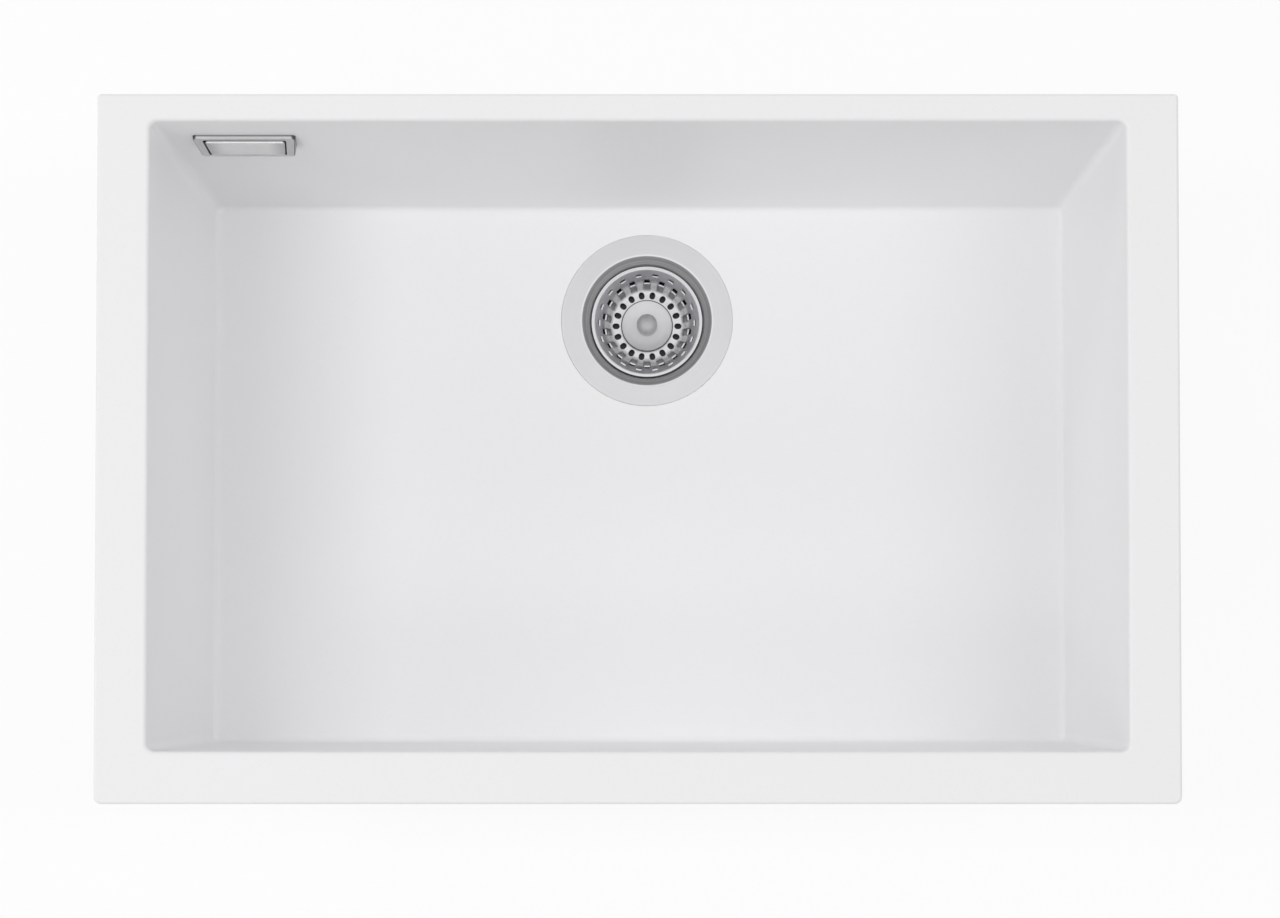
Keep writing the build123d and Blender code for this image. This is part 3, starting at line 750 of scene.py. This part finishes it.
@dataclass(frozen=True)
class CoverFinish:
    """Bright steel of the overflow cover, with painted shade where its edges turn away, on faces that look down
    and towards its ends, and a painted shadow where it meets the wall.
    """

    name: str
    colour: Colour
    roughness: float
    side_shade_share: float = 0.16
    under_shade_share: float = 0.34
    wall_shadow_share: float = 0.4
    end_shade_share: float = 1.0
    end_from: float = 12.0 * MM
    end_to: float = 25.0 * MM
    wall_shadow: float = 0.9 * MM
    wall_shadow_fade: float = 0.4
    side_span: tuple[float, float] = (0.12, 0.5)
    under_span: tuple[float, float] = (0.21, -0.05)
    lines_per_metre: float = 2500.0
    line_stretch: float = 40.0
    line_depth: float = 0.05 * MM
    line_strength: float = 0.1
    line_shade: float = 0.94
    wear_patches: float = 60.0
    wear_roughness: float = 0.06

    def material(self, dresser: Dresser, bowl: BowlShape, middle: float) -> Material:
        """Build the material.

        Args:
            dresser: Starts the material and holds the shared groups.
            bowl: Shape of the wall that carries the cover.
            middle: Place of the cover's middle along the wall.

        Returns:
            The finished material.
        """
        material, shader, surface, where = dresser.start(self.name)
        marks = dresser.group(shader, dresser.groups.brushed, Vector=where, Lines=self.lines_per_metre,
                              Stretch=self.line_stretch)
        wear = dresser.group(shader, dresser.groups.handling, Vector=where, Patches=self.wear_patches)
        # Painted shade on side faces and on faces that look down, a painted shadow along the back wall and
        # painted shade towards the ends; each darkens the colour by its share.
        facing = shader.split(shader.node("ShaderNodeNewGeometry").outputs["Normal"])
        side = shader.mask(shader.math("ABSOLUTE", facing[0]), *self.side_span)
        under = shader.mask(facing[2], *self.under_span)
        wall_shadow = shader.mask(bowl.off_back_wall(shader, where), (1.0 + self.wall_shadow_fade) * self.wall_shadow,
                           (1.0 - self.wall_shadow_fade) * self.wall_shadow)
        to_end = shader.math("ABSOLUTE", shader.math("SUBTRACT", shader.split(where)[0], middle))
        end = shader.span(to_end, self.end_from, self.end_to, 0.0, 1.0, smooth=True)
        colour = shader.blend(marks.outputs["Mark"], shade(self.colour, self.line_shade), self.colour)
        painted_shades = ((end, self.end_shade_share), (wall_shadow, self.wall_shadow_share), (under, self.under_shade_share),
                  (side, self.side_shade_share))
        for mask, share in painted_shades:
            colour = shader.blend(mask, colour, shade(self.colour, share))
        shader.put(surface.inputs["Base Color"], colour)
        surface.inputs["Metallic"].default_value = 1.0
        worn = self.roughness + self.wear_roughness
        shader.put(surface.inputs["Roughness"],
                   shader.span(wear.outputs["Mask"], 0.0, 1.0, self.roughness, worn))
        dresser.bump(shader, surface, marks.outputs["Height"], self.line_depth, self.line_strength)
        return material


@dataclass(frozen=True)
class MouldedFinish:
    """Moulded plastic, rubber or cast metal with a fine skin."""

    name: str
    colour: Colour
    roughness: float
    metallic: float = 0.0
    cloud_shade: float = 0.88
    grains_per_metre: float = 2200.0
    wear_patches: float = 45.0
    wiped: float = -0.05
    worn: float = 0.08
    skin_depth: float = 0.12 * MM
    skin_strength: float = 0.1

    def material(self, dresser: Dresser) -> Material:
        """Build the material.

        Args:
            dresser: Starts the material and holds the shared groups.

        Returns:
            The finished material.
        """
        material, shader, surface, where = dresser.start(self.name)
        grain = dresser.group(shader, dresser.groups.grain, Vector=where, Grains=self.grains_per_metre)
        wear = dresser.group(shader, dresser.groups.handling, Vector=where, Patches=self.wear_patches)
        colour = shader.blend(grain.outputs["Cloud"], self.colour, shade(self.colour, self.cloud_shade))
        shader.put(surface.inputs["Base Color"], colour)
        surface.inputs["Metallic"].default_value = self.metallic
        wiped = self.roughness + self.wiped
        worn = self.roughness + self.worn
        shader.put(surface.inputs["Roughness"], shader.span(wear.outputs["Mask"], 0.0, 1.0, wiped, worn))
        dresser.bump(shader, surface, grain.outputs["Height"], self.skin_depth, self.skin_strength)
        return material


class Finishes:
    """Every material of the sink, made once."""

    def __init__(self, dresser: Dresser, drain: Vector, overflow_middle: float) -> None:
        """Build the materials.

        Args:
            dresser: Starts the materials and holds the shared groups.
            drain: Point on the drain's upright axis.
            overflow_middle: Place of the overflow cover along the back wall.
        """
        bowl = BowlShape()
        self.composite = CompositeFinish().material(dresser, bowl)
        # Painted shade in the throat's recess, with darker bands as painted reflections.
        throat_shade_bands = BandedZone(inner=38.2 * MM, outer=43.2 * MM, share=0.7, band_shade=0.32,
                            added_roughness=0.02)
        # Painted highlight on the throat's rolled edge.
        throat_edge_highlight = PaintedLightRing(radius=43.8 * MM, half=0.45 * MM, share=1.14)
        self.flange = SteelFinish("satin_flange", Lay.TURNED, colour=(0.82, 0.82, 0.835), roughness=0.5,
                                  metallic=0.6, centre=drain, zones=(throat_shade_bands, throat_edge_highlight)).material(dresser)
        # Painted highlights between the basket's holes.
        highlight_lands = PaintedHighlightLands(count=18)
        self.basket = SteelFinish("pressed_steel", Lay.TURNED, colour=(0.76, 0.76, 0.775), roughness=0.27,
                                  mark_strength=0.05, centre=drain, zones=(highlight_lands,)).material(dresser)
        grip = BandedZone(inner=0.0, outer=6.9 * MM, share=0.72, band_shade=0.94, added_roughness=0.12)
        # Painted shade line round the dish's edge.
        dish_edge_shade = PaintedLightRing(radius=17.2 * MM)
        self.knob = SteelFinish("turned_steel", Lay.TURNED, colour=(0.82, 0.82, 0.838), roughness=0.4,
                                mark_strength=0.1, centre=drain, zones=(grip, dish_edge_shade)).material(dresser)
        self.fastener = SteelFinish("bright_fastener", Lay.TURNED, colour=(0.78, 0.78, 0.785), roughness=0.25,
                                    mark_strength=0.05, centre=drain).material(dresser)
        self.lip = SteelFinish("polished_lip", Lay.BRUSHED, colour=(0.97, 0.97, 0.97), roughness=0.2,
                               metallic=0.5, mark_strength=0.03).material(dresser)
        cover = CoverFinish("polished_cover", colour=(0.6, 0.6, 0.605), roughness=0.2)
        self.cover = cover.material(dresser, bowl, overflow_middle)
        # The plate takes painted shade on its side and lower faces and at its ends, and a painted shadow along
        # the wall.
        plate = CoverFinish("brushed_plate", colour=(0.84, 0.84, 0.84), roughness=0.3, side_shade_share=0.6,
                            under_shade_share=0.6, wall_shadow_share=0.6, end_shade_share=0.62)
        self.plate = plate.material(dresser, bowl, overflow_middle)
        self.brass = MouldedFinish("turned_brass", colour=(0.78, 0.6, 0.3), roughness=0.3,
                                   metallic=1.0).material(dresser)
        self.rubber = MouldedFinish("black_rubber", colour=(0.035, 0.035, 0.036), roughness=0.62,
                                    skin_strength=0.3).material(dresser)
        self.waste = MouldedFinish("white_polypropylene", colour=(0.78, 0.78, 0.77),
                                   roughness=0.38).material(dresser)
        self.nut = MouldedFinish("grey_polypropylene", colour=(0.22, 0.225, 0.235),
                                 roughness=0.42).material(dresser)
        self.stopper = MouldedFinish("black_moulding", colour=(0.05, 0.05, 0.052),
                                     roughness=0.4).material(dresser)


@dataclass
class Piece:
    """A bmesh that becomes a named piece of the object."""

    name: str
    mesh: bmesh.types.BMesh = field(default_factory=bmesh.new)
    merge: float = 0.001 * MM
    sharp_from: float = 35.0

    def finish(self, material: Material, body: Body) -> None:
        """Close the mesh, make the object and ride it on its body.

        Args:
            material: Finish of the piece.
            body: Body that the piece moves with.
        """
        bmesh.ops.remove_doubles(self.mesh, verts=self.mesh.verts, dist=self.merge)
        bmesh.ops.recalc_face_normals(self.mesh, faces=self.mesh.faces)
        data = bpy.data.meshes.new(self.name)
        self.mesh.to_mesh(data)
        self.mesh.free()
        data.shade_smooth()
        data.set_sharp_from_angle(angle=math.radians(self.sharp_from))
        data.materials.append(material)
        made = bpy.data.objects.new(self.name, data)
        bpy.context.scene.collection.objects.link(made)
        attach(made, body.value)
        log.info("piece %s with %d faces rides on %s", self.name, len(data.polygons), body.value)


def middle_of(name: str) -> Vector:
    """Find the middle of a node's box.

    Args:
        name: Name of the node.

    Returns:
        The middle, in metres.
    """
    low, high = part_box(name)
    return (Vector(low) + Vector(high)) / 2


@dataclass(frozen=True)
class Thread:
    """A raised helical thread, made by turning a small profile while it climbs."""

    name: str
    radius: float
    length: float
    pitch: float
    height: float
    root_sink: float = 0.1
    root_share: float = 0.42
    crest_share: float = 0.12
    steps_per_turn: int = 48

    def build(self, place: Matrix, material: Material, slot: Slot, body: Body) -> None:
        """Turn the thread and set it in its place.

        Args:
            place: Matrix that takes the thread's own Z axis, from its start, to the piece.
            material: Finish of the thread.
            slot: Slot of the record that the finish belongs to; not used.
            body: Body that the thread moves with.
        """
        piece = Piece(self.name)
        mesh = piece.mesh
        root = self.radius - self.root_sink * self.height
        crest = self.radius + self.height
        half = self.root_share * self.pitch
        flat = self.crest_share * self.pitch
        profile = [(root, -half), (crest, -flat), (crest, flat), (root, half)]
        points = [mesh.verts.new((x, 0.0, z + half)) for x, z in profile]
        face = mesh.faces.new(points)
        turns = (self.length - 2 * half) / self.pitch
        steps = int(turns * self.steps_per_turn)
        bmesh.ops.spin(mesh, geom=[*points, *face.edges, face], cent=(0, 0, 0), axis=(0, 0, 1),
                       dvec=(0, 0, self.pitch * turns / steps), angle=2 * math.pi * turns, steps=steps,
                       use_merge=False, use_duplicate=False)
        bmesh.ops.holes_fill(mesh, edges=mesh.edges, sides=len(profile))
        bmesh.ops.transform(mesh, matrix=place, verts=mesh.verts)
        piece.finish(material, body)


@dataclass
class SubAssembly:
    """A group of frame nodes that are dressed together."""

    nodes: dict[str, bpy.types.Object]

    def dress(self, material: Material, *names: str) -> None:
        """Give nodes of the frame their finish.

        Args:
            material: The finish.
            names: Names of the nodes.
        """
        for name in names:
            data = self.nodes[name].data
            data.materials.clear()
            data.materials.append(material)
            log.info("node %s is dressed in %s", name, material.name)


class Bowl(SubAssembly):
    """The moulded bowl and rim."""

    def build(self, finishes: Finishes) -> None:
        """Dress the bowl."""
        self.dress(finishes.composite, "sink_bowl")


@dataclass
class DrainSet(SubAssembly):
    """Flange, seals, waste body and the bolt that clamps them."""

    outlet_radius: float = 23.9 * MM
    outlet_thread: float = 22.0 * MM
    outlet_pitch: float = 2.309 * MM
    outlet_ridge: float = 1.1 * MM
    outlet_lead: float = 1.0 * MM
    port_radius: float = 13.0 * MM
    port_pitch: float = 1.814 * MM
    port_ridge: float = 0.7 * MM
    drum_radius: float = 52.0 * MM
    nut_half_length: float = 8.75 * MM

    def build(self, finishes: Finishes) -> None:
        """Dress the pieces of the drain and cut the threads of its outlet and its port.

        Args:
            finishes: Materials of the sink.
        """
        self.dress(finishes.flange, "drain_flange")
        self.dress(finishes.rubber, "flange_seal", "body_gasket")
        self.dress(finishes.waste, "waste_body")
        self.dress(finishes.brass, "thread_insert")
        self.dress(finishes.fastener, "hollow_bolt")
        axis = middle_of("drain_flange")
        self._outlet(finishes, axis)
        self._port(finishes, axis)

    def _outlet(self, finishes: Finishes, axis: Vector) -> None:
        """Cut the thread that the trap screws on.

        Args:
            finishes: Materials of the sink.
            axis: Point on the drain's upright axis.
        """
        end = Vector((axis.x, axis.y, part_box("waste_body")[0][2] + self.outlet_lead))
        thread = Thread("outlet_thread", self.outlet_radius, self.outlet_thread, self.outlet_pitch,
                        self.outlet_ridge)
        thread.build(Matrix.Translation(end), finishes.waste, Slot.WASTE_PLASTIC, Body.SINK)

    def _port(self, finishes: Finishes, axis: Vector) -> None:
        """Cut the thread of the overflow's port, from the drum to its nut.

        Args:
            finishes: Materials of the sink.
            axis: Point on the drain's upright axis.
        """
        nut = middle_of("lower_pipe_nut")
        along = Vector((nut.x - axis.x, nut.y - axis.y, 0.0))
        length = along.length - self.nut_half_length - self.drum_radius
        foot = Vector((axis.x, axis.y, nut.z)) + along.normalized() * self.drum_radius
        turn = along.to_track_quat("Z", "Y").to_matrix().to_4x4()
        thread = Thread("port_thread", self.port_radius, length, self.port_pitch, self.port_ridge)
        thread.build(Matrix.Translation(foot) @ turn, finishes.waste, Slot.WASTE_PLASTIC, Body.SINK)


class Basket(SubAssembly):
    """The lift-out basket with its stopper."""

    def build(self, finishes: Finishes) -> None:
        """Dress the pieces of the basket.

        Args:
            finishes: Materials of the sink.
        """
        self.dress(finishes.basket, "basket_cup")
        self.dress(finishes.knob, "basket_knob")
        self.dress(finishes.stopper, "stopper_plate")
        self.dress(finishes.fastener, "stopper_stem")
        self.dress(finishes.rubber, "stopper_seal", "stem_ring")


@dataclass
class Overflow(SubAssembly):
    """Cover, elbow and pipe of the overflow."""

    spigot_radius: float = 13.0 * MM
    spigot_thread: float = 9.6 * MM
    spigot_pitch: float = 1.814 * MM
    spigot_ridge: float = 0.7 * MM
    lip_length: float = 46.5 * MM
    lip_radius: float = 0.9 * MM
    lip_sink: float = 0.54 * MM
    lip_end_round: float = 0.45 * MM
    lip_sides: int = 20

    def build(self, finishes: Finishes) -> None:
        """Dress the pieces of the overflow, roll its plate's lip and cut the thread of its spigot.

        Args:
            finishes: Materials of the sink.
        """
        self.dress(finishes.cover, "overflow_frame")
        self.dress(finishes.plate, "overflow_plate")
        self.dress(finishes.fastener, "overflow_screws")
        self.dress(finishes.waste, "overflow_elbow", "overflow_pipe")
        self.dress(finishes.nut, "upper_pipe_nut", "lower_pipe_nut")
        self.dress(finishes.rubber, "overflow_seal", "upper_pipe_washer", "lower_pipe_washer")
        self._spigot(finishes)
        self._lip(finishes)

    def _spigot(self, finishes: Finishes) -> None:
        """Cut the thread of the elbow's spigot, upward from its nut.

        Args:
            finishes: Materials of the sink.
        """
        nut = middle_of("upper_pipe_nut")
        foot = Vector((nut.x, nut.y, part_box("upper_pipe_nut")[1][2]))
        thread = Thread("spigot_thread", self.spigot_radius, self.spigot_thread, self.spigot_pitch,
                        self.spigot_ridge)
        thread.build(Matrix.Translation(foot), finishes.waste, Slot.WASTE_PLASTIC, Body.SINK)

    def _lip(self, finishes: Finishes) -> None:
        """Roll the bright lip along the top edge of the plate.

        Args:
            finishes: Materials of the sink.
        """
        points = self.nodes["overflow_plate"].data.vertices
        top = max((point.co for point in points), key=lambda place: place.z)
        middle = Vector((middle_of("overflow_plate").x, top.y, top.z - self.lip_sink))
        lying = Matrix.Translation(middle) @ Matrix.Rotation(math.radians(90.0), 4, "Y")
        piece = Piece("plate_lip")
        bmesh.ops.create_cone(piece.mesh, cap_ends=True, segments=self.lip_sides, radius1=self.lip_radius,
                              radius2=self.lip_radius, depth=self.lip_length, matrix=lying)
        ends = [edge for edge in piece.mesh.edges if any(len(face.verts) > 4 for face in edge.link_faces)]
        bmesh.ops.bevel(piece.mesh, geom=ends, offset=self.lip_end_round, segments=3, profile=0.5,
                        affect="EDGES", material=-1)
        piece.finish(finishes.lip, Body.SINK)


def seen_rays(shader: ShaderTree) -> Socket:
    """Add the mask of rays that should see a plain white background.

    Args:
        shader: Tree of the world or of the floor.

    Returns:
        Socket that is 1 on camera, glossy and transmission rays.
    """
    path = shader.node("ShaderNodeLightPath")
    mirror = shader.math("MAXIMUM", path.outputs["Is Glossy Ray"], path.outputs["Is Transmission Ray"])
    return shader.math("MAXIMUM", path.outputs["Is Camera Ray"], mirror)


@dataclass(frozen=True)
class Lamp:
    """One large soft lamp that points at the bowl."""

    name: str
    place: Point
    shape: LampShape
    watts: float
    aim: Point = (0.0, 0.0, -0.1)

    def build(self) -> None:
        """Add the lamp to the scene, out of sight of the camera and of the steel."""
        data = bpy.data.lights.new(self.name, "AREA")
        data.shape = "RECTANGLE"
        data.size, data.size_y = self.shape.value
        data.energy = self.watts
        made = bpy.data.objects.new(self.name, data)
        made.location = self.place
        away = Vector(self.place) - Vector(self.aim)
        made.rotation_euler = away.to_track_quat("Z", "Y").to_euler()
        made.visible_camera = False
        made.visible_glossy = False
        bpy.context.scene.collection.objects.link(made)


@dataclass(frozen=True)
class Sky:
    """Even soft light from all round, and plain white to look at."""

    strength: float = 0.435

    def build(self) -> None:
        """Make the world."""
        world = bpy.data.worlds.new("studio")
        world.use_nodes = True
        shader = ShaderTree(world.node_tree)
        output = shader.node("ShaderNodeOutputWorld")
        glow = shader.node("ShaderNodeBackground")
        shader.put(glow.inputs["Color"], WHITE)
        shader.put(glow.inputs["Strength"], shader.span(seen_rays(shader), 0.0, 1.0, self.strength, 1.0))
        shader.put(output.inputs["Surface"], glow.outputs[0])
        bpy.context.scene.world = world


@dataclass(frozen=True)
class Floor:
    """Pale paper that keeps the object's shadow and fades to white with distance."""

    half: float = 14.0
    paper: tuple[float, float, float, float] = (0.97, 0.97, 0.97, 1.0)
    white_share: float = 0.88
    white_from: float = 0.6
    white_to: float = 3.5

    def build(self, level: float) -> None:
        """Lay the floor.

        Args:
            level: Height of the object's lowest point.
        """
        mesh = bmesh.new()
        bmesh.ops.create_grid(mesh, x_segments=1, y_segments=1, size=self.half)
        bmesh.ops.translate(mesh, verts=mesh.verts, vec=(0.0, 0.0, level))
        data = bpy.data.meshes.new("studio_floor")
        mesh.to_mesh(data)
        mesh.free()
        data.materials.append(self._material())
        made = bpy.data.objects.new("studio_floor", data)
        bpy.context.scene.collection.objects.link(made)
        made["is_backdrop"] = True

    def _material(self) -> Material:
        """Build the paper.

        Returns:
            The finished material.
        """
        material = bpy.data.materials.new("studio_paper")
        material.use_nodes = True
        shader = ShaderTree(material.node_tree)
        output = shader.node("ShaderNodeOutputMaterial")
        matt = shader.node("ShaderNodeBsdfDiffuse")
        shader.put(matt.inputs["Color"], self.paper)
        white = shader.node("ShaderNodeEmission")
        shader.put(white.inputs["Color"], WHITE)
        reach = shader.off_axis(shader.node("ShaderNodeTexCoord").outputs["Object"])
        share = shader.span(reach, self.white_from, self.white_to, self.white_share, 1.0, smooth=True)
        mix = shader.node("ShaderNodeMixShader")
        shader.put(mix.inputs[0], shader.product(seen_rays(shader), share))
        shader.put(mix.inputs[1], matt.outputs[0])
        shader.put(mix.inputs[2], white.outputs[0])
        shader.put(output.inputs["Surface"], mix.outputs[0])
        return material


@dataclass(frozen=True)
class Camera:
    """Camera above the bowl that looks straight down, as the photograph does."""

    place: Point = (8.2 * MM, -172.3 * MM, 1567.8 * MM)
    tilt_degrees: float = 1.644
    lens: float = 74.583
    sensor_width: float = 36.0
    shift: tuple[float, float] = (-0.00916, 0.16)

    def build(self) -> None:
        """Add the camera and make it the scene's own."""
        data = bpy.data.cameras.new("camera")
        data.sensor_width = self.sensor_width
        data.lens = self.lens
        data.shift_x, data.shift_y = self.shift
        made = bpy.data.objects.new("camera", data)
        made.location = self.place
        made.rotation_euler = (math.radians(self.tilt_degrees), 0.0, 0.0)
        bpy.context.scene.collection.objects.link(made)
        bpy.context.scene.camera = made


@dataclass(frozen=True)
class Studio:
    """Plain pale floor, soft light and the camera."""

    sky: Sky = Sky()
    floor: Floor = Floor()
    camera: Camera = Camera()
    lamps: tuple[Lamp, ...] = (
        Lamp("low_left", (-3.2, 0.0, 1.5), LampShape.BAR, watts=8.8),
        Lamp("overhead_left", (-1.5, 0.0, 3.2), LampShape.BAR, watts=20.0),
        Lamp("overhead", (-0.7, 0.0, 3.45), LampShape.BAR, watts=4.2),
        Lamp("overhead_right", (1.5, 0.0, 3.2), LampShape.BAR, watts=16.4),
        Lamp("softbox_right", (2.6, 0.0, 2.4), LampShape.BAR, watts=6.8),
        Lamp("front_left_low", (-2.3, -2.3, 1.7), LampShape.PANEL, watts=5.3),
        Lamp("front_left_high", (-1.6, -1.6, 2.8), LampShape.PANEL, watts=7.9),
        Lamp("back_left", (-2.3, 2.3, 1.7), LampShape.PANEL, watts=8.0),
        Lamp("back_right", (2.3, 2.3, 1.7), LampShape.PANEL, watts=3.0),
    )

    def build(self, level: float) -> None:
        """Set up the studio around the object.

        Args:
            level: Height of the object's lowest point.
        """
        self.sky.build()
        self.floor.build(level)
        for lamp in self.lamps:
            lamp.build()
        self.camera.build()
        bpy.context.scene.view_settings.view_transform = "Standard"


def corners(box: object) -> list[list[float]]:
    """Turn a box's lowest and highest corners into plain lists."""
    return [[float(value) for value in corner] for corner in box]


def main() -> None:
    """Dress the frame, add the details and set up the studio."""
    logging.basicConfig(level=logging.INFO, format="%(name)s: %(message)s")
    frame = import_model()
    frame_box = corners(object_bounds())
    nodes = frame["nodes"]
    finishes = Finishes(Dresser(SurfaceGroups()), middle_of("drain_flange"), middle_of("overflow_frame").x)
    for assembly in (Bowl(nodes), DrainSet(nodes), Basket(nodes), Overflow(nodes)):
        assembly.build(finishes)
    lowest, _ = frame_box
    Studio().build(lowest[2])


if __name__ == "__main__":
    main()
